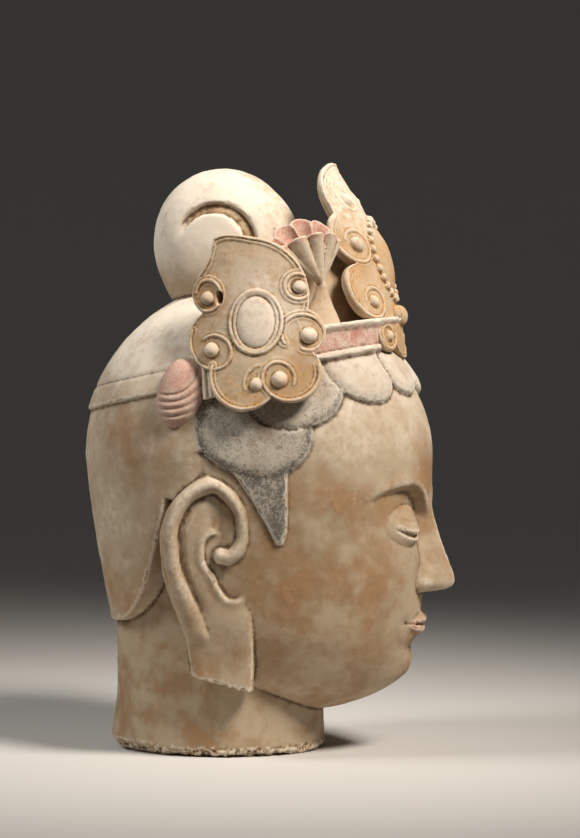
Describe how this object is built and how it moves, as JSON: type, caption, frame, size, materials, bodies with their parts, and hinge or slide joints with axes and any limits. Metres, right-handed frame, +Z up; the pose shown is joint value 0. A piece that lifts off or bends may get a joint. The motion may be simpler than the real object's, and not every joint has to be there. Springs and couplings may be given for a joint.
{
  "type": "painted stone bodhisattva head",
  "caption": "Life-size and larger painted limestone head with a coiled topknot and a scrolled crown, broken off at the neck.",
  "frame": {"origin": "middle of the head's box, on the flat underside of the broken neck", "axes": "+Z up through the crown, the face looks towards -Y, the head's own right ear is on the -X side"},
  "size_m": [0.226, 0.2664, 0.4189],
  "materials": {
    "painted_limestone": "matt limestone with worn white, red, ochre and grey paint"
  },
  "bodies": {
    "root": {"carved_head": "painted_limestone"}
  },
  "joints": []
}
